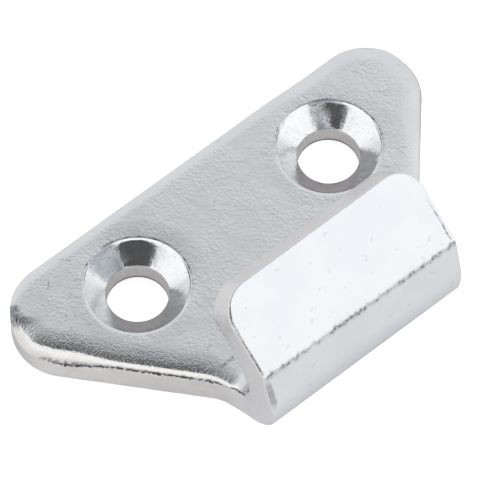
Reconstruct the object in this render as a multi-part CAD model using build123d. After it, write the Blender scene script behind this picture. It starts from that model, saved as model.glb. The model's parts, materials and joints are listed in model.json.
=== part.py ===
from build123d import *
import math
import os

# Catch plate of a toggle latch: one piece of zinc-plated steel sheet.
# A flat plate with two countersunk screw holes narrows to a neck, and the neck is folded
# up and back over the plate into a hook that the latch's claw or loop pulls on.
# Millimetres. The origin is midway between the screw holes on the flat underside,
# +X along the row of holes, +Z up out of the plate, -Y towards the hook.

# Sheet
THICKNESS = 3.5
EDGE_ROLL = 0.7              # rounding that the blanking punch leaves round the upper skin

# Flat plate, seen from above
PLATE_LENGTH = 40.4          # from ear tip to ear tip
BACK_MARGIN = 6.5            # from the row of holes to the straight back edge
EAR_RADIUS = 4.5
SIDE_ANGLE = 48.4            # between each slanted side and the row of holes
NECK_FILLET = 4.5            # where a slanted side runs into the neck
HOOK_WIDTH = 19.3

# Screw holes
HOLE_SPACING = 20.0
HOLE_DIAMETER = 5.2
CONE_DIAMETER = 8.3          # countersink at the upper face, before its rim is rounded
CONE_ANGLE = 90.0
CONE_RIM_ROUND = 0.25

# Hook, seen from the side
HOOK_REACH = 16.9            # from the row of holes to the frontmost point
FIRST_FOLD_INSIDE = 2.1      # inner radius of the fold out of the plate
FRONT_LEAN = 15.5            # the front wall leans back from upright by this angle
FRONT_HEIGHT = 10.6          # height of the second fold's outer corner
SECOND_FOLD_INSIDE = 0.8
SECOND_FOLD_OUTSIDE = 0.8    # pressed square, so the outer corner is nearly sharp
LIP_RISE = 39.0              # slope of the lip above the plate
LIP_LENGTH = 7.4             # from the second fold's outer corner to the tip
LIP_CORNER = 2.5

SPARE = THICKNESS            # how far a cutting shape runs past what it cuts
NEAR = 0.001                 # two points closer than this are the same


def direction(angle):
    """Unit vector in the side view, at an angle above +Y."""
    return Vector(math.cos(math.radians(angle)), math.sin(math.radians(angle)))


def inner_corner(outer, before, after):
    """Corner of the upper skin inside an outer corner, one thickness in from both walls."""
    half_turn = math.radians(before.get_angle(after)) / 2
    towards_inside = (after - before).normalized()
    return outer + towards_inside * (THICKNESS / math.cos(half_turn))


def hook_corners():
    """Outer and inner corners of the bent sheet in the side view, from plate to tip."""
    along_plate = Vector(-1, 0)
    up_front = direction(90 - FRONT_LEAN)
    along_lip = direction(LIP_RISE)
    outside_radius = FIRST_FOLD_INSIDE + THICKNESS
    half_turn = math.radians(along_plate.get_angle(up_front)) / 2
    corner_offset = outside_radius * (math.tan(half_turn) - 1)
    first = Vector(-HOOK_REACH - corner_offset, 0)
    second = first + up_front * (FRONT_HEIGHT / up_front.Y)
    tip = second + along_lip * LIP_LENGTH
    across_lip = Vector(along_lip.Y, -along_lip.X) * THICKNESS
    outer = [first, second, tip]
    inner = [
        inner_corner(first, along_plate, up_front),
        inner_corner(second, up_front, along_lip),
        tip + across_lip,
    ]
    return outer, inner


def upper_skin():
    """Side-view line of the upper skin, from the back of the plate to the lip's tip."""
    inner = hook_corners()[1]
    back = Vector(BACK_MARGIN + SPARE, THICKNESS)
    return Plane.YZ * FilletPolyline(back, *inner, radius=[FIRST_FOLD_INSIDE, SECOND_FOLD_INSIDE])


def bent_sheet():
    """The bent sheet as wide as the whole part, before it is cut to its outline."""
    outer, inner = hook_corners()
    back = BACK_MARGIN + SPARE
    corners = [Vector(back, 0), *outer, *reversed(inner), Vector(back, THICKNESS)]
    outer_radii = [FIRST_FOLD_INSIDE + THICKNESS, SECOND_FOLD_OUTSIDE]
    radii = [0, *outer_radii, 0, 0, SECOND_FOLD_INSIDE, FIRST_FOLD_INSIDE, 0]
    profile = make_face(FilletPolyline(*corners, radius=radii, close=True))
    return extrude(Plane.YZ * profile, amount=PLATE_LENGTH / 2 + SPARE, both=True)


def outline_prism():
    """Upright prism of the outline seen from above, up to the axis of the first fold."""
    slope = math.radians(SIDE_ANGLE)
    side_x = PLATE_LENGTH / 2 - EAR_RADIUS + EAR_RADIUS * math.sin(slope)
    side_y = BACK_MARGIN - EAR_RADIUS - EAR_RADIUS * math.cos(slope)
    back_x = side_x + (BACK_MARGIN - side_y) / math.tan(slope)
    neck_x = HOOK_WIDTH / 2
    neck_y = side_y - (side_x - neck_x) * math.tan(slope)
    front_y = -HOOK_REACH - SPARE
    right = [(back_x, BACK_MARGIN), (neck_x, neck_y), (neck_x, front_y)]
    left = [(-x, y) for x, y in reversed(right)]
    radii = [EAR_RADIUS, NECK_FILLET, 0, 0, NECK_FILLET, EAR_RADIUS]
    outline = make_face(FilletPolyline(*right, *left, radius=radii, close=True))
    fold_axis_height = FIRST_FOLD_INSIDE + THICKNESS
    return extrude(outline, amount=fold_axis_height, dir=(0, 0, 1))


def hook_strip():
    """Block as wide as the hook, round everything above the plate."""
    depth = HOOK_REACH + SPARE
    height = FRONT_HEIGHT + LIP_LENGTH
    corner = (Align.CENTER, Align.MAX, Align.MIN)
    return Pos(0, 0, THICKNESS) * Box(HOOK_WIDTH, depth, height, align=corner)


def screw_hole(x):
    """Solid that cuts one countersunk hole."""
    flank = math.tan(math.radians(CONE_ANGLE / 2))
    hole_radius = HOLE_DIAMETER / 2
    cone_radius = CONE_DIAMETER / 2
    cone_depth = (cone_radius - hole_radius) / flank
    top_radius = cone_radius + SPARE * flank
    profile = make_face(Polyline(
        (0, -SPARE),
        (hole_radius, -SPARE),
        (hole_radius, THICKNESS - cone_depth),
        (top_radius, THICKNESS + SPARE),
        (0, THICKNESS + SPARE),
        close=True,
    ))
    return Pos(x, 0, 0) * revolve(Plane.XZ * profile, Axis.Z)


def lip_end_edges(solid):
    """The two short edges at the corners of the lip's end."""
    outer, inner = hook_corners()
    middle = (outer[-1] + inner[-1]) / 2
    ends = [Vector(side * HOOK_WIDTH / 2, middle.X, middle.Y) for side in (-1, 1)]
    return [edge for edge in solid.edges() if any((edge.center() - end).length < NEAR for end in ends)]


def cone_rims(solid):
    """The circles where the countersinks meet the upper face."""
    circles = solid.edges().filter_by(GeomType.CIRCLE)
    return [edge for edge in circles if abs(edge.radius - CONE_DIAMETER / 2) < NEAR]


def upper_rim(solid):
    """The closed line of edges round the upper skin of plate and hook."""
    skin = upper_skin()

    def on_skin(face):
        point = face.position_at(0.5, 0.5)
        return skin.distance_to(Vector(0, point.Y, point.Z)) < NEAR

    edges = [edge for face in solid.faces() if on_skin(face) for edge in face.outer_wire().edges()]
    return [edge for edge in edges if sum(edge.is_same(other) for other in edges) == 1]


def catch_plate():
    """The whole part."""
    solid = bent_sheet() & (outline_prism() + hook_strip())
    solid = fillet(lip_end_edges(solid), LIP_CORNER)
    solid -= [screw_hole(-HOLE_SPACING / 2), screw_hole(HOLE_SPACING / 2)]
    solid = fillet(cone_rims(solid), CONE_RIM_ROUND)
    return fillet(upper_rim(solid), EDGE_ROLL)


os.makedirs("parts", exist_ok=True)
part = catch_plate()
part.label = "catch_plate"
export_step(part, "parts/catch_plate.step")
box = part.bounding_box()
print("size", box.size, "low", box.min, "high", box.max, "volume", part.volume)
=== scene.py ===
import json
import math

import bpy
import numpy as np
from mathutils import Matrix, Vector, geometry, noise


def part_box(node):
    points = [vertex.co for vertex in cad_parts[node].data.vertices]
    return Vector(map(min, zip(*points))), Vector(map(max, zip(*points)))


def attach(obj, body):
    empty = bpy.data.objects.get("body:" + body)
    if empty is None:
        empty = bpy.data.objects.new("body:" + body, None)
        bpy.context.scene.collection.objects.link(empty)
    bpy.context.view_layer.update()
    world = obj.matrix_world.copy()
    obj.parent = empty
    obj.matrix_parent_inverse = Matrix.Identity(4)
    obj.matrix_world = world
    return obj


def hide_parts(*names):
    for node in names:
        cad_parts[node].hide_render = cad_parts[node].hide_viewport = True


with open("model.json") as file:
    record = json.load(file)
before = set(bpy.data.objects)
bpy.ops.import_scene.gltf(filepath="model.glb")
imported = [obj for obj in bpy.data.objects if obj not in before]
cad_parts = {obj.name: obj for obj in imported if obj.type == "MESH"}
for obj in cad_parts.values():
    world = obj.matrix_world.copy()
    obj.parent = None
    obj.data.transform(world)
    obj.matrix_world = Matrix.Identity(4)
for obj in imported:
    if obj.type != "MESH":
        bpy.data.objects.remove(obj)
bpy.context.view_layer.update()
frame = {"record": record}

# Sizes are in millimetres and turned into metres when the mesh is written.
MM = 0.001
NODE = "catch_plate"
LOW, HIGH = [np.array(corner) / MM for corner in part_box(NODE)]
MOUNTS = {mount["name"]: mount for mount in frame["record"]["mounts"]}

# Flat blank, seen from above
THICKNESS = 3.5
BACK = HIGH[1]
HALF_LENGTH = HIGH[0]
EAR_RADIUS = 4.5
SIDE_ANGLE = math.radians(48.4)
NECK_RADIUS = 4.5
HOOK_HALF = 19.3 / 2
LIP_CORNER = 2.5
HOOK_SIDE = 4                 # the hook's side, counted along the right half of the outline from 0
HOLE_X = MOUNTS["screw_holes"]["dims"]["spacing_x_mm"] / 2
HOLE_TIGHTNESS = 0.06         # the hole is narrower by this all round, plated and slightly upset
BORE_RADIUS = MOUNTS["screw_holes"]["dims"]["hole_r_mm"] - HOLE_TIGHTNESS

# Hook, seen from the side
REACH = -LOW[1]
FIRST_INSIDE = 2.1
FRONT_LEAN = math.radians(15.5)
FRONT_HEIGHT = 10.6
SECOND_INSIDE = 0.8
SECOND_OUTSIDE = 0.8
LIP_RISE = math.radians(39)
LIP_LENGTH = 7.4
FOLD_SKEW = 0.3               # how much lower the second fold is on the right than on the left

NOISE_SHIFT = Vector((17.3, 5.1, 9.7))   # between the patterns of one seed and the next

# Mesh density
STEP = 0.2                    # between points along an edge and across a skin
CREASE_STEP = 0.1             # between rows of points across the sharp second fold
FOLD_POINTS = 60              # along each straight or arc of the side view
HOLE_POINTS = 144
MIDDLE_GAP = 0.6 * STEP       # the points in the middle of a skin stay this far from its rings
BATCH = 4000                  # points whose gaps are measured at once

# Rounding that the blanking punch drags round the upper skin, as lengths along the surface:
# a steep part above the sheared wall, a gentle part, and a nearly flat tail. start is the tilt
# of the surface's normal above the horizon at the top of the wall, in degrees.
BACK_ROLL = dict(start=20, steep=0.22, gentle=0.34, tail=0.65)
PLATE_ROLL = dict(start=30, steep=0.5, gentle=0.63, tail=1.3)   # the front sides, up to the neck
EAR_ROLL = dict(start=20, steep=1.25, gentle=0.72, tail=1.2)    # the fronts of the ears
HOOK_ROLL = dict(start=30, steep=0.18, gentle=0.5, tail=0.4)
TIP_ROLL = dict(start=25, steep=0.45, gentle=0.75, tail=0.5)
STEEP_END = 42                # the same tilt at the end of the steep part
GENTLE_START = 56
GENTLE_END = 77
STEEP_RINGS = 5
GENTLE_RINGS = 8
TAIL_RINGS = 4
GENTLE_BIAS = 0.6             # below 1, the gentle part flattens soon above the steep part
RIGHT_SHARPNESS = 0.55        # how much less the front is rounded on the right than on the left
RIGHT_WEAR = dict(start=0, steep=0.9, gentle=0.9, tail=0)   # share added to BACK_ROLL at the right ear
RIGHT_WEAR_SPAN = (8, 13)     # places along X between which that sets in
ROLL_UNEVEN = 0.1             # share by which the rounding varies along the edge
STEEP_WORN = 0.25             # how grainy the steep part is, where the gentle part is 1

# Sheared wall, with a ragged groove along its top as (distance below the top, share of the
# depth, strength of the painted shade in the groove), and the rounding on the burr side
GROOVE = [(0.06, 0.5, 1.0), (0.17, 1.0, 1.0), (0.31, 0.7, 0.6), (0.46, 0.0, 0.0)]
GROOVE_DEPTH = 0.08
RAGGED_TOP = 0.05             # how far the top of the wall wanders up and down
SEAM = (0.2, 1.2, 2.9, 3.4)   # the groove fades in and out this far past the first fold's start
WALL_LEAN = 0.3               # how far the plate's front walls lean in from bottom to top
WALL_ROUGHNESS = 0.012
WALL_RINGS = 6
BURR_WIDTH = 0.14
BURR_HEIGHT = 0.34
HOOK_BURR_WIDTH = 0.30
HOOK_BURR_HEIGHT = 0.11
TIP_BURR = 0.05               # width and height of this rounding on the lip's end
BURR_UNEVEN = 0.25
BURR_WORN = 0.4
BURR_RINGS = 5
SCUFF_WIDTH = 0.2             # how much wider the rounding is below the second fold's left end
SCUFF_LENGTH = 3.3
LOWER_MARGINS = (0.15, 0.35, 0.6, 0.9)

# Cracks and painted shade along the second fold, the flare of the hook and the waves in the upper skin
CRACK_WIDTH = 0.21            # half-width of the cracked strip along the second fold
CRACK_SHIFT = 0.12            # its middle lies this far on the front's side of the fold
CRACK_WANDER = 0.2
FLARE = 0.17                  # how much the sides of the hook spread at the second fold
WAVE_HEIGHT = 0.012

# Screw holes
CONE_RADIUS = 4.27            # where the cone's line meets the upper skin
CONE_SLOPES = [math.radians(38.5), math.radians(40.5)]   # left and right hole
NECK_ROUND = 0.2              # rounding between cone and hole
RIM_OUTSIDE = 4.60
STEPPED_RIM = [               # stepped half of each rim, as (gap outside the cone, rise)
    (0.15, 0.0),
    (0.12, -0.005),
    (0.10, -0.02),
    (0.05, -0.085),
    (0.0, -0.15),
    (-0.04, -0.19),
]
SOFT_RIM = [                  # the other half, which is softly rounded
    (0.15, 0.0),
    (0.10, -0.008),
    (0.05, -0.026),
    (0.0, -0.055),
    (-0.05, -0.092),
    (-0.10, -0.132),
]
RIM_SKIN_POINTS = 3           # of these points, how many have the skin's finish
RIM_UNEVEN = 0.015
# The broken dark outline on these rings is painted shade
DARK_RINGS = (1, 2)           # rings of a hole that carry the broken dark outline
DISH_DEPTHS = [0.085, 0.05]   # how far the skin sinks beside the left and the right hole
DISH_OUTSIDE = 6.0
DISH_SIDE = math.radians(30)  # direction of the side that sinks most, from +X towards the back edge
STEPPED_SIDE = math.radians(50)   # direction of the stepped half, from +X towards the back edge
CONE_RINGS = 8
NECK_RINGS = 8
STRAIGHT_SHARES = (0.05, 0.35, 0.7, 1.0)   # rings down the straight wall
HOLE_BREAK = 0.1              # rounding at the bottom of the hole
BREAK_ANGLES = (30, 60, 90)
LOWER_MARGIN = 0.6

# Finish: colours, and heights of the relief in millimetres
EDGE_TINT = (0.75, 0.75, 0.76, 1)
SKIN_TONES = [(0.785, 0.808, 0.838), (0.815, 0.837, 0.863)]
ROLLED_TONE = (0.83, 0.82, 0.79)
PIT_TONE = (0.42, 0.42, 0.44)
SCRATCH_TONE = (0.30, 0.31, 0.33)
SCUFF_TONE = (0.46, 0.46, 0.47)
# The next two paint shade: a grey speckle and broken dark lines along the groove's top, the rims, the lip's
# edges and the second fold, where the skin is also cracked
SHADE_SPECKLE_TONE = (0.44, 0.44, 0.47)
DARK_LINE_TONE = (0.26, 0.27, 0.30)
CONE_TONES = [(0.79, 0.81, 0.83), (0.85, 0.865, 0.88)]
SPECK_TONE = (0.45, 0.45, 0.46)
BORE_TONES = [(0.76, 0.73, 0.73), (0.84, 0.81, 0.81)]
# Painted shade along the lower edge of the hole, where it meets the floor
BORE_CONTACT_SHADE_TONE = (0.22, 0.20, 0.20)
WALL_TONES = [(0.735, 0.72, 0.71), (0.78, 0.77, 0.765)]
# Lighter tone on the hook's walls: painted light for their brighter reflection
HOOK_SHEEN_TONE = (0.86, 0.85, 0.86)
# Near-black painted shade in the ragged groove along the top of the sheared wall
GROOVE_SHADE_TONE = (0.08, 0.075, 0.075)
SKIN_RELIEF = dict(wrinkles=0.023, grain=0.006, worn_grain=0.05, rays=0.02, scratches=-0.02)
CONE_RELIEF = dict(streaks=0.008, grain=0.005, blotches=0.012)
BORE_RELIEF = 0.05
WALL_RELIEF = dict(scores=0.03, grain=0.008)
ROUGHNESS = dict(skin=(0.15, 0.22), worn=0.06, cone=(0.09, 0.16), bore=0.5, wall=(0.28, 0.38))
GRAIN_ANGLE = math.radians(38)
SCRATCHES = [                 # (start, end, width, strength) on the upper skin, an ear's stain last
    ((-9.6, -9.97), (-8.3, -9.93), 0.26, 0.75),
    ((-13.7, 6.2), (-12.8, 5.1), 0.10, 0.4),
    ((-15.35, 4.7), (-15.75, 4.25), 0.14, 0.5),
    ((-16.1, 1.5), (-16.2, 1.4), 0.16, 0.5),
    ((-16.5, 0.3), (-16.7, 0.2), 0.16, 0.4),
    ((-9.4, -8.1), (-8.9, -7.9), 0.16, 0.4),
    ((13.2, 6.0), (13.8, 5.9), 0.16, 0.45),
    ((-19.3, 4.6), (-20.1, 3.3), 0.9, 2.2),
]

# Camera, fitted to the photo's hole rims, outline and hook
CAMERA_AZIMUTH = math.radians(-39.527)
CAMERA_ELEVATION = math.radians(61.855)
CAMERA_ROLL = math.radians(0.122)
CAMERA_SIDE = 0.521
CAMERA_RISE = -0.328
CAMERA_DISTANCE = 473.32
FOCAL_PIXELS = 5832.882
PHOTO_PIXELS = 480
SENSOR = 36.0
CLIP = (0.01, 10)             # metres

# Brightness of the studio walls behind the object and on the camera's side of it, and where one
# turns into the other, as cosines of the angle from the camera's direction on the ground
BACK_WALL = 0.82
FRONT_WALL = 1.13
WALL_TURN = (-0.6, 0.0)
# Direction of the dark middle of the ceiling, and the share of the light by the angle from it
CEILING_MIDDLE = Vector((-0.25, 0, 0.97)).normalized()
CEILING = [(50, 1), (45, 1), (41, 0.95), (39, 0.82), (37, 0.7), (32, 0.5), (20, 0.34), (0, 0.3)]
# Share left near the camera, by the angle from its direction
CAMERA_PATCH = [(90, 1), (36, 1), (32.5, 0.08), (0, 0.08)]
FLOOR_HALF = 1.0              # metres
FLOOR_DROP = 0.00002          # how far the floor lies below the plate, metres
FLOOR_LEVEL = 0.8
FLOOR_LIFT = 0.82             # what the camera sees added to the lit floor, so that it is white
FLOOR_GLOSS_LIFT = 0.36       # the same for reflections


def smooth(low, high, value):
    """0 below low, 1 above high and a soft step between."""
    t = np.clip((value - low) / (high - low), 0, 1)
    return t * t * (3 - 2 * t)


def wander(points, scale, seed):
    """Smooth noise from -1 to 1 at points in millimetres, with bumps about scale wide."""
    shift = NOISE_SHIFT * seed
    return np.array([noise.noise(Vector(point) / scale + shift) for point in points])


def rounded_pieces(corners, radii):
    """Straights and arcs of a line with rounded corners, as (length, points at 0..1) each."""
    corners = [np.array(corner, float) for corner in corners]
    pieces = []
    start = corners[0]
    for before, corner, after, radius in zip(corners, corners[1:], corners[2:], radii):
        back = (before - corner) / np.linalg.norm(before - corner)
        ahead = (after - corner) / np.linalg.norm(after - corner)
        half = math.acos(np.clip(back @ ahead, -1, 1)) / 2
        tangent = radius / math.tan(half)
        bisector = (back + ahead) / np.linalg.norm(back + ahead)
        centre = corner + bisector * radius / math.sin(half)
        first = corner + back * tangent
        last = corner + ahead * tangent
        pieces.append(straight(start, first))
        pieces.append(arc(centre, first, last))
        start = last
    pieces.append(straight(start, corners[-1]))
    return pieces


def straight(first, last):
    """Length of a straight piece, and a function from 0..1 to its points."""
    length = np.linalg.norm(last - first)
    return length, lambda t: first + np.outer(t, last - first)


def arc(centre, first, last):
    """Length of an arc, and a function from 0..1 to its points."""
    a, b = first - centre, last - centre
    radius = np.linalg.norm(a)
    turn = math.atan2(a[0] * b[1] - a[1] * b[0], a @ b)

    def points(t):
        angle = math.atan2(a[1], a[0]) + turn * np.asarray(t)
        return centre + radius * np.stack([np.cos(angle), np.sin(angle)], axis=1)

    return abs(radius * turn), points


def side_view(skew):
    """Stations along the bent sheet: place v on its middle line, and (y, z) of both skins there.

    skew lowers the second fold and lengthens the lip as much, so that the tip stays at its height.
    """
    up_front = np.array([math.sin(FRONT_LEAN), math.cos(FRONT_LEAN)])
    along_lip = np.array([math.cos(LIP_RISE), math.sin(LIP_RISE)])
    along_plate = np.array([-1.0, 0.0])
    outside = FIRST_INSIDE + THICKNESS
    half_turn = math.acos(along_plate @ up_front) / 2
    first = np.array([-REACH - outside * (math.tan(half_turn) - 1), 0])
    second = first + up_front * (FRONT_HEIGHT / up_front[1] - skew)
    tip = second + along_lip * (LIP_LENGTH + skew)
    across_lip = np.array([along_lip[1], -along_lip[0]]) * THICKNESS
    outer = [(BACK, 0), first, second, tip]
    inner = [
        (BACK, THICKNESS),
        inner_corner(first, along_plate, up_front),
        inner_corner(second, up_front, along_lip),
        tip + across_lip,
    ]
    t = np.linspace(0, 1, FOLD_POINTS)
    skins = []
    for corners, radii in ((outer, (outside, SECOND_OUTSIDE)), (inner, (FIRST_INSIDE, SECOND_INSIDE))):
        skins.append(np.concatenate([points(t) for _, points in rounded_pieces(corners, radii)]))
    middle = (skins[0] + skins[1]) / 2
    steps = np.linalg.norm(np.diff(middle, axis=0), axis=1)
    v = BACK - np.concatenate([[0], np.cumsum(steps)])
    return v, skins[0], skins[1]


def inner_corner(outer, before, after):
    """Corner of the upper skin, one thickness in from both walls at an outer corner."""
    half_turn = math.acos(before @ after) / 2
    inwards = (after - before) / np.linalg.norm(after - before)
    return outer + inwards * THICKNESS / math.cos(half_turn)


STATIONS, *LEFT_SKINS = side_view(0)
RIGHT_SKINS = side_view(FOLD_SKEW)[1:]
CREASE_START = STATIONS[3 * FOLD_POINTS]
CREASE_END = STATIONS[4 * FOLD_POINTS - 1]
FOLD_START = STATIONS[FOLD_POINTS]
TIP = STATIONS[-1]


def bend(sheet):
    """Points (x, v, h) of the flat blank, h up from the lower skin, to the bent sheet in space."""
    x, v, h = sheet.T
    place = np.stack([x] * 3, axis=1)
    share = h / THICKNESS
    to_right = np.clip((x + HOOK_HALF) / (2 * HOOK_HALF), 0, 1)
    for axis in (0, 1):
        skins = []
        for left, right in zip(LEFT_SKINS, RIGHT_SKINS):
            left_place = np.interp(-v, -STATIONS, left[:, axis])
            right_place = np.interp(-v, -STATIONS, right[:, axis])
            skins.append(left_place + (right_place - left_place) * to_right)
        place[:, axis + 1] = skins[0] + (skins[1] - skins[0]) * share
    return place


def rows(start, stop):
    """Places v of the rows of points from start down to stop, close together across the crease."""
    stops = [start, CREASE_START, CREASE_END, stop]
    steps = [STEP, CREASE_STEP, STEP]
    places = []
    for first, last, step in zip(stops, stops[1:], steps):
        count = max(2, round((first - last) / step) + 1)
        places.extend(np.linspace(first, last, count)[:-1])
    return np.array(places + [stop])


def outline():
    """Closed outline of the flat blank as (x, v), clockwise from the middle of the back edge."""
    side_x = HALF_LENGTH - EAR_RADIUS + EAR_RADIUS * math.sin(SIDE_ANGLE)
    side_v = BACK - EAR_RADIUS - EAR_RADIUS * math.cos(SIDE_ANGLE)
    back_x = side_x + (BACK - side_v) / math.tan(SIDE_ANGLE)
    neck_v = side_v - (side_x - HOOK_HALF) * math.tan(SIDE_ANGLE)
    corners = [(0, BACK), (back_x, BACK), (HOOK_HALF, neck_v), (HOOK_HALF, TIP), (0, TIP)]
    pieces = rounded_pieces(corners, [EAR_RADIUS, NECK_RADIUS, LIP_CORNER])
    right = []
    for number, (length, points) in enumerate(pieces):
        count = round(length / STEP) + 1
        t = np.linspace(0, 1, count)
        if number == HOOK_SIDE:
            ends = points([0, 1])[:, 1]
            t = (ends[0] - rows(*ends)) / (ends[0] - ends[1])
        right.extend(points(t)[:-1])
    right = np.array(right)
    left = right[1:][::-1] * (-1, 1)
    return np.concatenate([right, [(0, TIP)], left])


def inward_normals(loop):
    """Unit normals that point into a clockwise loop."""
    along = np.roll(loop, -1, axis=0) - np.roll(loop, 1, axis=0)
    along /= np.linalg.norm(along, axis=1)[:, None]
    return np.stack([along[:, 1], -along[:, 0]], axis=1)


class Sheet:
    """Vertices of the flat blank as (x, v, h), with faces, their finish and shading masks."""

    def __init__(self):
        self.points = []
        self.worn = []
        self.dark = []
        self.rolled = []
        self.scuffed = []
        self.faces = []
        self.finishes = []

    def add(self, xv, h, worn=0.0, dark=0.0, rolled=0.0, scuffed=0.0):
        """Adds vertices and returns their numbers."""
        first = len(self.points)
        count = len(xv)
        self.points.extend(np.column_stack([xv, np.broadcast_to(h, count)]))
        self.worn.extend(np.broadcast_to(worn, count))
        self.dark.extend(np.broadcast_to(dark, count))
        self.rolled.extend(np.broadcast_to(rolled, count))
        self.scuffed.extend(np.broadcast_to(scuffed, count))
        return np.arange(first, first + count)

    def bridge(self, ring, inner, finish):
        """Faces between two closed rings with as many points."""
        for a, b, c, d in zip(ring, np.roll(ring, -1), np.roll(inner, -1), inner):
            self.faces.append((d, c, b, a))
            self.finishes.append(finish)

    def fill(self, border, holes, h, finish, upwards):
        """Fills the flat middle of a skin, inside a border ring and outside the hole rings."""
        points = np.array(self.points)
        loops = [points[ring][:, :2] for ring in [border, *holes]]
        middle = middle_points(loops[0], loops[1:])
        added = self.add(middle, h)
        numbers = np.concatenate([border, *holes, added])
        flat = [Vector(point) for point in np.concatenate([*loops, middle])]
        edges = []
        first = 0
        for loop in loops:
            count = len(loop)
            edges.extend((first + i, first + (i + 1) % count) for i in range(count))
            first += count
        verts, _, triangles, *_ = geometry.delaunay_2d_cdt(flat, edges, [], 0, 1e-7)
        assert len(verts) == len(flat)
        corners = np.array(triangles)
        centres = np.array([tuple(vert) for vert in verts])[corners].mean(axis=1)
        keep = inside(centres, loops[0])
        for loop in loops[1:]:
            keep &= ~inside(centres, loop)
        for a, b, c in numbers[corners[keep]]:
            self.faces.append((a, b, c) if upwards else (c, b, a))
            self.finishes.append(finish)


def inside(points, loop):
    """Which points lie inside a closed loop."""
    x, y = points.T
    found = np.zeros(len(points), bool)
    for (ax, ay), (bx, by) in zip(loop, np.roll(loop, -1, axis=0)):
        if ay != by:
            crosses = (ay > y) != (by > y)
            found ^= crosses & (x < (bx - ax) * (y - ay) / (by - ay) + ax)
    return found


def middle_points(border, holes):
    """Staggered rows of points well inside the border and well outside the holes."""
    found = []
    for number, v in enumerate(rows(border[:, 1].max(), border[:, 1].min())):
        offset = STEP / 2 if number % 2 else 0.0
        half_row = np.arange(offset, border[:, 0].max(), STEP)
        x = np.concatenate([-half_row[half_row > 0][::-1], half_row])
        found.append(np.column_stack([x, np.full(len(x), v)]))
    found = np.concatenate(found)
    found = found[inside(found, border)]
    far = np.ones(len(found), bool)
    for loop in [border, *holes]:
        for start in range(0, len(found), BATCH):
            part = slice(start, start + BATCH)
            gaps = np.linalg.norm(found[part, None] - loop[None], axis=2).min(axis=1)
            far[part] &= gaps > MIDDLE_GAP
    for loop in holes:
        far &= ~inside(found, loop)
    return found[far]


def roll_shape(loop, facing):
    """Insets, drops and wear of the rings that the punch's rounding runs through, outside first.

    facing goes from -1 where the outline faces the back to 1 where it faces the front.
    """
    x, v = np.abs(loop[:, 0]), loop[:, 1]
    front = smooth(-0.55, -0.1, facing) * (1 - RIGHT_SHARPNESS * smooth(-5, 5, loop[:, 0]))
    ear = smooth(HALF_LENGTH - EAR_RADIUS, HALF_LENGTH - 1.5, x) * front
    hook = smooth(-FOLD_START - 1.5, -FOLD_START + 1.5, -v)
    tip = smooth(-TIP - LIP_CORNER, -TIP - 0.5, -v)
    right_back = smooth(*RIGHT_WEAR_SPAN, loop[:, 0]) * smooth(-0.1, 0.5, -facing)
    uneven = 1 + ROLL_UNEVEN * wander(np.column_stack([loop, np.zeros(len(loop))]), 3.0, 1)

    def value(name):
        back = BACK_ROLL[name] * (1 + RIGHT_WEAR[name] * right_back)
        plate = back + (PLATE_ROLL[name] - back) * front
        plate = plate + (EAR_ROLL[name] - plate) * ear
        whole = plate + (HOOK_ROLL[name] - plate) * hook
        return whole + (TIP_ROLL[name] - whole) * tip

    spans = [
        (value("start"), STEEP_END, value("steep") * uneven, STEEP_RINGS, 1),
        (GENTLE_START, GENTLE_END, value("gentle") * uneven, GENTLE_RINGS, GENTLE_BIAS),
        (GENTLE_END, 90, value("tail"), TAIL_RINGS, 1),
    ]
    insets = [np.zeros(len(loop))]
    climbs = [np.zeros(len(loop))]
    for low, high, length, count, bias in spans:
        for step in range(count):
            tilt = np.radians(low + (high - low) * ((step + 0.5) / count) ** bias)
            insets.append(insets[-1] + length / count * np.sin(tilt))
            climbs.append(climbs[-1] + length / count * np.cos(tilt))
    drops = [climbs[-1] - climb for climb in climbs]
    fade = [1 - (step + 1) / TAIL_RINGS for step in range(TAIL_RINGS)]
    worn = [STEEP_WORN] * STEEP_RINGS + [1] * (GENTLE_RINGS + 1) + fade
    return insets, drops, np.outer(worn, front * (1 - 0.8 * hook))


def burr_shape(loop):
    """Width and height of the rounding along the lower skin's edge, and where it is scuffed."""
    x, v = loop.T
    hook = smooth(-FOLD_START + 3, -FOLD_START + 8, -v)
    side = smooth(HOOK_HALF - 0.9, HOOK_HALF - 0.05, np.abs(x))
    uneven = 1 + BURR_UNEVEN * wander(np.column_stack([loop, np.zeros(len(loop))]), 1.2, 2)
    width = BURR_WIDTH + (TIP_BURR + (HOOK_BURR_WIDTH - TIP_BURR) * side - BURR_WIDTH) * hook
    height = BURR_HEIGHT + (TIP_BURR + (HOOK_BURR_HEIGHT - TIP_BURR) * side - BURR_HEIGHT) * hook
    below = (v - CREASE_START) / SCUFF_LENGTH
    scuff = smooth(-0.05, 0.3, below) * (1 - smooth(0.7, 1.0, below)) * (x < -HOOK_HALF + 0.5)
    return (width + SCUFF_WIDTH * scuff) * uneven, height * uneven, scuff


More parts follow.
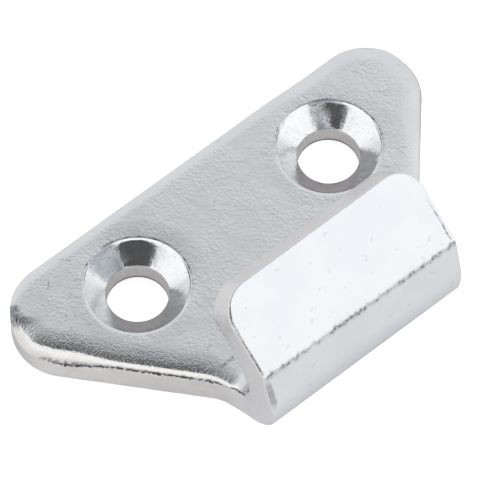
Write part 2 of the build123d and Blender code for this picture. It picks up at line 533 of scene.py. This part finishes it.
class Edge:
    """The outline of the blank, with the shape of its edge at each of its points.

    torn is where the groove runs, with a mask of how dark the painted shade in the groove is there. lean
    is how far the top of the wall lies inside the outline.
    """

    def __init__(self, loop):
        self.loop = loop
        self.flat = np.column_stack([loop, np.zeros(len(loop))])
        self.normals = inward_normals(loop)
        facing = self.normals[:, 1]
        past_fold = FOLD_START - loop[:, 1]
        self.ragged = wander(self.flat, 0.45, 3) * 0.5 + wander(self.flat, 1.3, 4) * 0.5
        plate = smooth(0.12, 0.66, facing) * (1 - smooth(-0.5, 0.5, past_fold))
        seam = smooth(*SEAM[:2], past_fold) * (1 - smooth(*SEAM[2:], past_fold))
        self.torn = np.clip(plate + seam, 0, 1)
        # Strength of the painted shade in the groove, along the outline
        self.groove_shade = np.clip(0.85 + 1.1 * self.ragged, 0.1, 1) * self.torn
        lean = WALL_LEAN * smooth(0.1, 0.5, facing) * (1 - smooth(-1.5, 0.5, past_fold))
        self.lean = lean * smooth(-2, 2, -loop[:, 0])
        self.insets, self.drops, self.worn = roll_shape(loop, facing)
        self.wall_top = THICKNESS - self.drops[0] + RAGGED_TOP * self.ragged * self.torn
        self.burr_width, self.burr_height, self.scuff = burr_shape(loop)

    def inwards(self, inset):
        """The outline moved in by a length at each of its points."""
        return self.loop + self.normals * inset[:, None]


def add_roll(sheet, edge):
    """Rounding round the upper skin. Returns its rings, outside first."""
    rings = []
    for number, (inset, drop) in enumerate(zip(edge.insets, edge.drops)):
        h = THICKNESS - drop if rings else edge.wall_top
        # The groove's painted shade reaches onto the two outermost rings of the rounding
        dark = edge.groove_shade * (1 - number / 2) if number < 2 else 0.0
        rolled = 1.0 if number < STEEP_RINGS else 0.0
        places = edge.inwards(edge.lean + inset)
        rings.append(sheet.add(places, h, worn=edge.worn[number], dark=dark, rolled=rolled))
    for outer, inner in zip(rings, rings[1:]):
        sheet.bridge(outer, inner, "skin")
    return rings


def add_wall(sheet, edge, top):
    """Sheared wall below its top ring, with the groove. Returns its rings, top first."""
    rings = [top]
    # Each groove ring carries its share of the painted shade in the groove
    for below, cut, groove_shade in GROOVE:
        depth = GROOVE_DEPTH * cut * np.clip(0.6 + 1.2 * edge.ragged, 0.05, 1.4) * edge.torn
        places = edge.inwards(depth + edge.lean * (1 - below / edge.wall_top))
        rings.append(sheet.add(places, edge.wall_top - below, dark=edge.groove_shade * groove_shade))
    start = edge.wall_top - GROOVE[-1][0]
    for step in range(1, WALL_RINGS + 1):
        share = step / WALL_RINGS
        h = start + (edge.burr_height - start) * share
        rough = np.abs(WALL_ROUGHNESS * wander(edge.flat + (0, 0, 3 * share), 0.7, 5))
        lean = edge.lean * h / edge.wall_top * (1 - share ** 6)
        rings.append(sheet.add(edge.inwards(rough * math.sin(math.pi * share) + lean), h))
    for upper, lower in zip(rings, rings[1:]):
        sheet.bridge(lower, upper, "wall")
    return rings


def add_burr(sheet, edge, top):
    """Rounding on the burr side below its top ring. Returns its rings, outside first."""
    along_lip = (CREASE_END - edge.loop[:, 1]) / LIP_LENGTH
    sides = smooth(0.0, 0.05, along_lip) * (1 - smooth(0.2, 0.55, along_lip))
    left = sides * (edge.loop[:, 0] < 0)
    tip = 0.5 * smooth(0.85, 0.98, along_lip)
    broken = np.clip(0.9 + 0.9 * edge.ragged, 0.2, 1)
    rings = [top]
    # The dark lines of painted shade run halfway round on the lip's left side and tip, and inside on its
    # right.
    for step in range(1, BURR_RINGS + 1):
        angle = math.pi / 2 * step / BURR_RINGS
        h = edge.burr_height * (1 - math.sin(angle))
        line = (left + tip) * (2 <= step <= 3) + (sides - left) * (step == BURR_RINGS)
        places = edge.inwards(edge.burr_width * (1 - math.cos(angle)))
        rings.append(sheet.add(places, h, worn=BURR_WORN, dark=line * broken, scuffed=edge.scuff))
    for margin in LOWER_MARGINS:
        rings.append(sheet.add(edge.inwards(edge.burr_width + margin), 0.0))
    for outer, inner in zip(rings, rings[1:]):
        sheet.bridge(inner, outer, "skin")
    return rings


def add_edges(sheet, loop):
    """Everything round the outline. Returns the innermost ring on the upper and lower skin."""
    edge = Edge(loop)
    upper = add_roll(sheet, edge)
    wall = add_wall(sheet, edge, upper[0])
    lower = add_burr(sheet, edge, wall[-1])
    return upper[-1], lower[-1]


def hole_profile(rim, slope):
    """Rings of a countersunk hole as (radius, h, finish), from the upper skin down and round."""
    rings = [(RIM_OUTSIDE, THICKNESS, "skin")]
    for number, (gap, rise) in enumerate(rim):
        finish = "skin" if number < RIM_SKIN_POINTS else "cone"
        rings.append((CONE_RADIUS + gap, THICKNESS + rise, finish))
    neck_turn = math.pi / 2 - slope
    neck_radius = BORE_RADIUS + NECK_ROUND * (1 - math.cos(neck_turn))
    radius, h, _ = rings[-1]
    step_in = (radius - neck_radius) / CONE_RINGS
    for step in range(CONE_RINGS):
        radius -= step_in
        h -= step_in * math.tan(slope)
        rings.append((radius, h, "cone"))
    centre_h = rings[-1][1] - NECK_ROUND * math.sin(neck_turn)
    for step in range(1, NECK_RINGS + 1):
        turn = neck_turn * (1 - step / NECK_RINGS)
        radius = BORE_RADIUS + NECK_ROUND * (1 - math.cos(turn))
        rings.append((radius, centre_h + NECK_ROUND * math.sin(turn), "cone"))
    for share in STRAIGHT_SHARES:
        rings.append((BORE_RADIUS, centre_h + (HOLE_BREAK - centre_h) * share, "bore"))
    for angle in BREAK_ANGLES:
        turn = math.radians(angle)
        out = HOLE_BREAK * (1 - math.cos(turn))
        rings.append((BORE_RADIUS + out, HOLE_BREAK * (1 - math.sin(turn)), "bore"))
    rings.append((BORE_RADIUS + LOWER_MARGIN, 0.0, "skin"))
    return rings


def add_hole(sheet, centre, slope):
    """One countersunk hole. Returns its ring on the upper and on the lower skin."""
    angle = -np.linspace(0, 2 * math.pi, HOLE_POINTS, endpoint=False)
    unit = np.stack([np.cos(angle), np.sin(angle)], axis=1)
    around = np.column_stack([unit * CONE_RADIUS + (centre, 0), np.zeros(HOLE_POINTS)])
    uneven = wander(around, 0.4, 6)
    stepped = smooth(-0.4, 0.3, unit @ (math.cos(STEPPED_SIDE), math.sin(STEPPED_SIDE)))
    # Broken painted shade just outside the stepped half of each rim
    dashes = np.clip(0.4 + 1.5 * wander(around, 0.35, 9), 0, 1) * stepped
    rings = []
    finishes = []
    profiles = zip(hole_profile(STEPPED_RIM, slope), hole_profile(SOFT_RIM, slope))
    for number, (hard, soft) in enumerate(profiles):
        jagged = RIM_UNEVEN if 1 < number < len(STEPPED_RIM) else 0.0
        radius = soft[0] + (hard[0] - soft[0]) * stepped + jagged * uneven * stepped
        h = soft[1] + (hard[1] - soft[1]) * stepped
        dark = dashes if number in DARK_RINGS else 0.0
        rings.append(sheet.add(unit * radius[:, None] + (centre, 0), h, dark=dark))
        finishes.append(hard[2])
    for outer, inner, finish in zip(rings, rings[1:], finishes[1:]):
        sheet.bridge(outer, inner, finish)
    return rings[0], rings[-1]


def build_plate():
    """The whole plate as one closed mesh."""
    sheet = Sheet()
    loop = outline()
    upper, lower = add_edges(sheet, loop)
    holes = [add_hole(sheet, x, slope) for x, slope in zip((-HOLE_X, HOLE_X), CONE_SLOPES)]
    sheet.fill(upper, [hole[0] for hole in holes], THICKNESS, "skin", upwards=True)
    sheet.fill(lower, [hole[1] for hole in holes], 0.0, "skin", upwards=False)
    return sheet


def crease_cracks_and_shade(flat):
    """Crack lines in the outer skin along the sharp second fold, with painted shade of the crease over
    them, from 0 to 1.
    """
    x, v, h = flat.T
    along = np.column_stack([x, np.zeros((len(x), 2))])
    middle = (CREASE_START + CREASE_END) / 2 + CRACK_SHIFT + CRACK_WANDER * wander(along, 0.45, 10)
    strength = np.clip(0.75 + 0.9 * wander(along, 0.9, 11), 0.2, 1)
    outer = np.clip(1 - h / (0.8 * HOOK_BURR_HEIGHT), 0, 1)
    return strength * np.exp(-((v - middle) / CRACK_WIDTH) ** 2) * outer


def spread(flat):
    """Lets the sides of the hook spread a little towards the second fold and the lip."""
    x, v, h = flat.T
    rise = smooth(-FOLD_START + 3, -CREASE_START, -v)
    return np.column_stack([x * (1 + FLARE * rise / HOOK_HALF), v, h])


def ripple(flat):
    """Slight waves in the upper skin, wherever it isn't rounded down by more than a hair."""
    x, v, h = flat.T
    upper = h > THICKNESS - 0.01
    waves = wander(flat, 2.2, 7) * 0.6 + wander(flat, 0.9, 8) * 0.4
    lift = np.where(upper, -np.abs(waves) * WAVE_HEIGHT, 0)
    return np.column_stack([x, v, h + lift])


def dish(flat):
    """Lets the upper skin sink towards the side of each hole where the countersink was pressed hard."""
    x, v, h = flat.T
    sunk = np.zeros(len(flat))
    for centre, depth in zip((-HOLE_X, HOLE_X), DISH_DEPTHS):
        radius = np.hypot(x - centre, v)
        facing = ((x - centre) * math.cos(DISH_SIDE) + v * math.sin(DISH_SIDE)) / radius
        share = np.clip((DISH_OUTSIDE - radius) / (DISH_OUTSIDE - CONE_RADIUS), 0, 1)
        sunk += depth * share ** 1.5 * smooth(-0.3, 0.7, facing) * (h > THICKNESS / 2)
    return np.column_stack([x, v, h - sunk])


def write_mesh(name, sheet, materials):
    """Blender object from a sheet, bent into shape."""
    flat = np.array(sheet.points)
    places = bend(spread(dish(ripple(flat))))
    mesh = bpy.data.meshes.new(name)
    mesh.from_pydata([tuple(place * MM) for place in places], [], sheet.faces)
    order = list(materials)
    # Painted shade of edges, rims and groove, and crack lines with painted shade along the second fold
    dark = np.maximum(sheet.dark, crease_cracks_and_shade(flat))
    for material in materials.values():
        mesh.materials.append(material)
    mesh.polygons.foreach_set("material_index", [order.index(finish) for finish in sheet.finishes])
    masks = {"worn": sheet.worn, "dark": dark, "rolled": sheet.rolled, "scuffed": sheet.scuffed}
    for attribute, values in masks.items():
        layer = mesh.attributes.new(attribute, "FLOAT", "POINT")
        layer.data.foreach_set("value", np.array(values, np.float32))
    mesh.polygons.foreach_set("use_smooth", [True] * len(mesh.polygons))
    mesh.validate()
    mesh.update()
    plate = bpy.data.objects.new(name, mesh)
    bpy.context.scene.collection.objects.link(plate)
    return plate


class Graph:
    """Short ways to add nodes to the tree of one material or world."""

    def __init__(self, tree):
        self.nodes = tree.nodes
        self.links = tree.links

    def add(self, kind, inputs, **settings):
        """A node with some settings, and inputs that are numbers, colours or sockets."""
        node = self.nodes.new("ShaderNode" + kind)
        for name, value in settings.items():
            setattr(node, name, value)
        for name, value in inputs.items():
            self.put(node.inputs[name], value)
        return node

    def put(self, socket, value):
        """Links a socket, or sets a number, a vector or a colour, to an input."""
        if isinstance(value, bpy.types.NodeSocket):
            self.links.new(value, socket)
        elif isinstance(value, tuple) and len(value) == 3 and len(socket.default_value) == 4:
            socket.default_value = (*value, 1)
        else:
            socket.default_value = value

    def maths(self, operation, *values):
        """Result of one operation on numbers."""
        return self.add("Math", dict(enumerate(values)), operation=operation).outputs[0]

    def dot(self, vector, axis):
        """Share of a vector along an axis."""
        node = self.add("VectorMath", {0: vector, 1: tuple(axis)}, operation="DOT_PRODUCT")
        return node.outputs["Value"]

    def stretch(self, vector, factors):
        """Vector with each of its three numbers multiplied by its own factor."""
        return self.add("VectorMath", {0: vector, 1: factors}, operation="MULTIPLY").outputs[0]

    def noise(self, vector, scale, detail=2.0, distortion=0.0):
        """Noise from 0 to 1, finer where the scale is larger."""
        inputs = {"Vector": vector, "Scale": scale, "Detail": detail, "Distortion": distortion}
        return self.add("TexNoise", inputs).outputs["Fac"]

    def span(self, value, from_range, to_range, soft=True):
        """A value carried from one range to another and held at its ends."""
        kind = "SMOOTHSTEP" if soft else "LINEAR"
        names = ("From Min", "From Max", "To Min", "To Max")
        inputs = dict(zip(names, (*from_range, *to_range)), Value=value)
        return self.add("MapRange", inputs, interpolation_type=kind).outputs["Result"]

    def mix(self, factor, first, second):
        """The first colour where the factor is 0, and the second where it is 1."""
        node = self.add("Mix", {"Factor": factor}, data_type="RGBA")
        self.put(node.inputs["A"], first)
        self.put(node.inputs["B"], second)
        return node.outputs["Result"]

    def by_angle(self, direction, axis, stops):
        """Level by the angle in degrees between a direction and an axis."""
        node = self.add("ValToRGB", {"Fac": self.dot(direction, axis)})
        elements = node.color_ramp.elements
        while len(elements) < len(stops):
            elements.new(0.5)
        for element, (angle, level) in zip(elements, stops):
            element.position = max(0.0, math.cos(math.radians(angle)))
            element.color = (level, level, level, 1)
        return node.outputs["Color"]

    def mask(self, name):
        """One of the values that write_mesh keeps at the points of the mesh."""
        return self.add("Attribute", {}, attribute_name=name).outputs["Fac"]

    def millimetres(self):
        """Place on the object in millimetres."""
        place = self.add("TexCoord", {}).outputs["Object"]
        return self.stretch(place, (1000, 1000, 1000))


def metal(name):
    """New metallic material: its graph and its shader."""
    material = bpy.data.materials.new(name)
    material.use_nodes = True
    graph = Graph(material.node_tree)
    shader = graph.nodes["Principled BSDF"]
    shader.inputs["Metallic"].default_value = 1.0
    shader.inputs["Specular Tint"].default_value = EDGE_TINT
    return material, graph, shader


def relief(graph, shader, *layers):
    """Bump on a shader from (pattern, height in millimetres) layers added together."""
    total = 0.0
    for pattern, height in layers:
        total = graph.maths("MULTIPLY_ADD", pattern, height, total)
    inputs = {"Height": total, "Distance": MM, "Strength": 1.0}
    graph.put(shader.inputs["Normal"], graph.add("Bump", inputs).outputs["Normal"])


def along_grain(graph, place):
    """Place turned so that X runs along the rolling grain, then squeezed along it."""
    turned = graph.add("VectorRotate", {"Vector": place, "Angle": GRAIN_ANGLE}).outputs["Vector"]
    return graph.stretch(turned, (0.95, 1.2, 1.0))


def scored(graph, place):
    """Mask of the short scratches on the upper skin."""
    total = 0.0
    for start, end, width, strength in SCRATCHES:
        start, end = Vector((*start, THICKNESS)), Vector((*end, THICKNESS))
        offset = graph.add("VectorMath", {0: place, 1: start}, operation="SUBTRACT").outputs[0]
        run = end - start
        share = graph.dot(offset, run / run.length_squared)
        share = graph.span(share, (0.0, 1.0), (0.0, 1.0), soft=False)
        nearest = graph.add("VectorMath", {0: tuple(run), "Scale": share}, operation="SCALE").outputs[0]
        gap = graph.add("VectorMath", {0: offset, 1: nearest}, operation="DISTANCE").outputs["Value"]
        total = graph.maths("ADD", total, graph.span(gap, (0.2 * width, width), (strength, 0.0)))
    broken = graph.span(graph.noise(place, 4.5, 2.0), (0.38, 0.6), (0.35, 1.0))
    return graph.maths("MULTIPLY", total, broken)


def skin_material():
    """Rolled skin under bright zinc: wrinkled, and grainy and dull where the punch stretched it."""
    material, graph, shader = metal("zinc_skin")
    place = graph.millimetres()
    worn = graph.mask("worn")
    patches = graph.noise(place, 0.3, 2.0)
    grain = graph.noise(place, 6.5, 2.0)
    scratches = scored(graph, place)
    skin_relief(graph, shader, place, worn, patches, grain, scratches)
    graph.put(shader.inputs["Base Color"], skin_colour(graph, place, patches, scratches))
    rough = graph.span(grain, (0.3, 0.7), ROUGHNESS["skin"])
    rough = graph.maths("MULTIPLY_ADD", worn, ROUGHNESS["worn"], rough)
    graph.put(shader.inputs["Roughness"], rough)
    return material


def skin_relief(graph, shader, place, worn, patches, grain, scratches):
    """Wrinkles, grain, short rays round the countersinks and scratches, calmer on the hook."""
    around, radius, z = around_hole(graph)
    calm = graph.span(z, (THICKNESS + 0.6, THICKNESS + 2.0), (1.0, 0.25))
    amount = graph.maths("MULTIPLY", graph.span(patches, (0.36, 0.62), (0.35, 1.0)), calm)
    wrinkles = graph.noise(along_grain(graph, place), 3.2, 2.0, 0.3)
    rays = graph.add("CombineXYZ", {"X": around, "Y": graph.maths("MULTIPLY", radius, 0.4), "Z": 0.0})
    rays = graph.noise(rays.outputs["Vector"], 3.4, 2.0, 0.3)
    near_rim = graph.maths("MULTIPLY", graph.span(radius, (4.5, 5.8), (1.0, 0.0)), calm)
    heights = SKIN_RELIEF
    relief(
        graph, shader,
        (wrinkles, graph.maths("MULTIPLY", amount, heights["wrinkles"])),
        (grain, graph.maths("MULTIPLY_ADD", worn, heights["worn_grain"], heights["grain"])),
        (rays, graph.maths("MULTIPLY", near_rim, heights["rays"])),
        (scratches, heights["scratches"]),
    )


def skin_colour(graph, place, patches, scratches):
    """Two close tones of zinc, with pits, scratches, the scuff, and broken dark lines and grey speckle that
    are painted shade, partly over real crack lines along the second fold.
    """
    # The dark mask is painted shade along the groove's top, the rims, the lip's edges and the second fold,
    # where the skin is also cracked
    dark = graph.mask("dark")
    dark_line_breakup = graph.noise(place, 3.6, 3.0, 0.4)
    dark_lines = graph.maths("ADD", dark, graph.span(dark_line_breakup, (0.38, 0.62), (-0.7, 0.2)))
    dark_lines = graph.span(dark_lines, (0.5, 0.8), (0.0, 1.0))
    shade_speckle = graph.maths("MULTIPLY", dark, graph.span(dark_line_breakup, (0.38, 0.62), (0.7, 1.9)))
    pits = graph.noise(place, 1.4, 1.0)
    pitted = graph.span(pits, (0.24, 0.31), (0.2, 0.0))
    scuff = graph.maths("MULTIPLY", graph.mask("scuffed"), graph.span(pits, (0.3, 0.7), (0.75, 1.05)))
    colour = graph.mix(graph.span(patches, (0.3, 0.7), (0.0, 1.0)), *SKIN_TONES)
    marks = [
        (graph.mask("rolled"), ROLLED_TONE),
        (pitted, PIT_TONE),
        (scratches, SCRATCH_TONE),
        (scuff, SCUFF_TONE),
        (shade_speckle, SHADE_SPECKLE_TONE),
        (dark_lines, DARK_LINE_TONE),
    ]
    for mask, tone in marks:
        colour = graph.mix(mask, colour, tone)
    return colour


def around_hole(graph):
    """Place near a hole as (distance round its axis, distance from it, height), millimetres."""
    x, y, z = graph.add("SeparateXYZ", {"Vector": graph.millimetres()}).outputs
    x = graph.maths("SUBTRACT", graph.maths("ABSOLUTE", x), HOLE_X)
    angle = graph.maths("ARCTAN2", y, x)
    flat = graph.add("CombineXYZ", {"X": x, "Y": y, "Z": 0.0}).outputs["Vector"]
    radius = graph.add("VectorMath", {0: flat}, operation="LENGTH").outputs["Value"]
    return graph.maths("MULTIPLY", angle, CONE_RADIUS), radius, z


def cone_material():
    """Countersink pressed nearly to a mirror, with faint streaks down the cone and dull specks."""
    material, graph, shader = metal("zinc_cone")
    around, radius, _ = around_hole(graph)
    inputs = {"X": around, "Y": graph.maths("MULTIPLY", radius, 0.5), "Z": 0.0}
    streaks = graph.noise(graph.add("CombineXYZ", inputs).outputs["Vector"], 2.2, 3.0, 0.3)
    place = graph.millimetres()
    blotches = graph.noise(place, 1.1, 3.0)
    grain = graph.noise(place, 5.0, 2.0)
    heights = CONE_RELIEF
    layers = (streaks, heights["streaks"]), (grain, heights["grain"]), (blotches, heights["blotches"])
    relief(graph, shader, *layers)
    specks = graph.span(graph.noise(place, 4.0, 1.0), (0.27, 0.33), (0.5, 0.0))
    colour = graph.mix(graph.span(streaks, (0.3, 0.7), (0.0, 1.0)), *CONE_TONES)
    graph.put(shader.inputs["Base Color"], graph.mix(specks, colour, SPECK_TONE))
    graph.put(shader.inputs["Roughness"], graph.span(blotches, (0.35, 0.65), ROUGHNESS["cone"]))
    return material


def bore_material():
    """Straight wall of the hole, dull and scored, with a dark line of painted shade along its lower edge,
    where it meets the floor.
    """
    material, graph, shader = metal("zinc_bore")
    around, _, z = around_hole(graph)
    inputs = {"X": around, "Y": 0.0, "Z": graph.maths("MULTIPLY", z, 0.6)}
    scores = graph.noise(graph.add("CombineXYZ", inputs).outputs["Vector"], 2.6, 3.0)
    relief(graph, shader, (scores, BORE_RELIEF))
    colour = graph.mix(graph.span(scores, (0.35, 0.65), (0.0, 1.0)), *BORE_TONES)
    # Painted shade, darkening the wall towards its lower edge
    edge = graph.span(z, (0.16, 0.38), (1.0, 0.0))
    graph.put(shader.inputs["Base Color"], graph.mix(edge, colour, BORE_CONTACT_SHADE_TONE))
    shader.inputs["Roughness"].default_value = ROUGHNESS["bore"]
    return material


def wall_material():
    """Sheared wall round the blank: faint upright score lines, a ragged dark line of painted shade on top,
    and painted light on the hook's walls.
    """
    material, graph, shader = metal("zinc_wall")
    place = graph.millimetres()
    scores = graph.noise(graph.stretch(place, (2.2, 2.2, 0.5)), 1.6, 3.0)
    blotches = graph.noise(place, 0.5, 3.0)
    grain = graph.noise(place, 4.0, 2.0)
    relief(graph, shader, (scores, WALL_RELIEF["scores"]), (grain, WALL_RELIEF["grain"]))
    colour = graph.mix(graph.span(blotches, (0.35, 0.65), (0.0, 1.0)), *WALL_TONES)
    # Painted light: the hook's walls get a lighter tone for their brighter reflection
    hook_sheen = graph.span(graph.dot(place, (0.0, -1.0, 0.6)), (11.0, 14.0), (0.0, 1.0))
    colour = graph.mix(hook_sheen, colour, HOOK_SHEEN_TONE)
    # Painted shade in the ragged groove along the top of the wall
    groove_shade = graph.maths("ADD", graph.mask("dark"), graph.span(grain, (0.3, 0.7), (-0.4, 0.4)))
    colour = graph.mix(graph.span(groove_shade, (0.35, 0.75), (0.0, 1.0)), colour, GROOVE_SHADE_TONE)
    graph.put(shader.inputs["Base Color"], colour)
    graph.put(shader.inputs["Roughness"], graph.span(scores, (0.3, 0.7), ROUGHNESS["wall"]))
    return material


def camera_axes():
    """Right, up and backward directions of the camera."""
    azimuth, elevation = CAMERA_AZIMUTH, CAMERA_ELEVATION
    back = Vector((
        math.sin(azimuth) * math.cos(elevation),
        -math.cos(azimuth) * math.cos(elevation),
        math.sin(elevation),
    ))
    right = Vector((math.cos(azimuth), math.sin(azimuth), 0))
    up = back.cross(right)
    turn = Matrix.Rotation(CAMERA_ROLL, 3, back)
    return turn @ right, turn @ up, back


def add_camera():
    """The camera that took the photo."""
    right, up, back = camera_axes()
    data = bpy.data.cameras.new("camera")
    data.sensor_width = SENSOR
    data.lens = FOCAL_PIXELS / PHOTO_PIXELS * SENSOR
    data.clip_start, data.clip_end = CLIP
    camera = bpy.data.objects.new("camera", data)
    place = (right * CAMERA_SIDE + up * CAMERA_RISE + back * CAMERA_DISTANCE) * MM
    axes = Matrix((right, up, back)).transposed().to_4x4()
    camera.matrix_world = Matrix.Translation(place) @ axes
    bpy.context.scene.collection.objects.link(camera)
    bpy.context.scene.camera = camera


def add_world():
    """White studio walls, a ceiling with a dark middle, and a dark patch where the camera stands."""
    world = bpy.data.worlds.new("studio")
    bpy.context.scene.world = world
    world.use_nodes = True
    graph = Graph(world.node_tree)
    direction = graph.add("TexCoord", {}).outputs["Generated"]
    to_camera = camera_axes()[2]
    level_camera = Vector((to_camera.x, to_camera.y, 0)).normalized()
    walls = graph.span(graph.dot(direction, level_camera), WALL_TURN, (BACK_WALL, FRONT_WALL))
    ceiling = graph.by_angle(direction, CEILING_MIDDLE, CEILING)
    patch = graph.by_angle(direction, to_camera, CAMERA_PATCH)
    lit = graph.maths("MULTIPLY", walls, graph.maths("MINIMUM", ceiling, patch))
    seen = graph.add("LightPath", {}).outputs["Is Camera Ray"]
    background = graph.nodes["Background"]
    graph.put(background.inputs["Color"], graph.mix(seen, lit, (1.0, 1.0, 1.0)))


def add_floor():
    """Pale floor just under the plate, lifted to white for the camera and in reflections."""
    mesh = bpy.data.meshes.new("floor")
    half = FLOOR_HALF
    corners = [(x, y, -FLOOR_DROP) for x, y in ((-half, -half), (half, -half), (half, half), (-half, half))]
    mesh.from_pydata(corners, [], [(0, 1, 2, 3)])
    floor = bpy.data.objects.new("floor", mesh)
    material = bpy.data.materials.new("pale_floor")
    material.use_nodes = True
    graph = Graph(material.node_tree)
    shader = graph.nodes["Principled BSDF"]
    graph.put(shader.inputs["Base Color"], (FLOOR_LEVEL, FLOOR_LEVEL, FLOOR_LEVEL))
    shader.inputs["Roughness"].default_value = 1.0
    shader.inputs["Specular IOR Level"].default_value = 0.0
    graph.put(shader.inputs["Emission Color"], (1.0, 1.0, 1.0))
    path = graph.add("LightPath", {}).outputs
    reflected = graph.maths("MAXIMUM", path["Is Glossy Ray"], path["Is Transmission Ray"])
    lift = graph.maths("MULTIPLY", path["Is Camera Ray"], FLOOR_LIFT)
    lift = graph.maths("ADD", lift, graph.maths("MULTIPLY", reflected, FLOOR_GLOSS_LIFT))
    graph.put(shader.inputs["Emission Strength"], lift)
    mesh.materials.append(material)
    bpy.context.scene.collection.objects.link(floor)


bpy.context.scene.view_settings.view_transform = "Standard"
add_camera()
add_world()
add_floor()
finishes = {
    "skin": skin_material(),
    "cone": cone_material(),
    "bore": bore_material(),
    "wall": wall_material(),
}
plate = write_mesh("plated_catch_plate", build_plate(), finishes)
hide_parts(NODE)
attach(plate, "root")
print("triangles", sum(len(p.vertices) - 2 for p in plate.data.polygons))
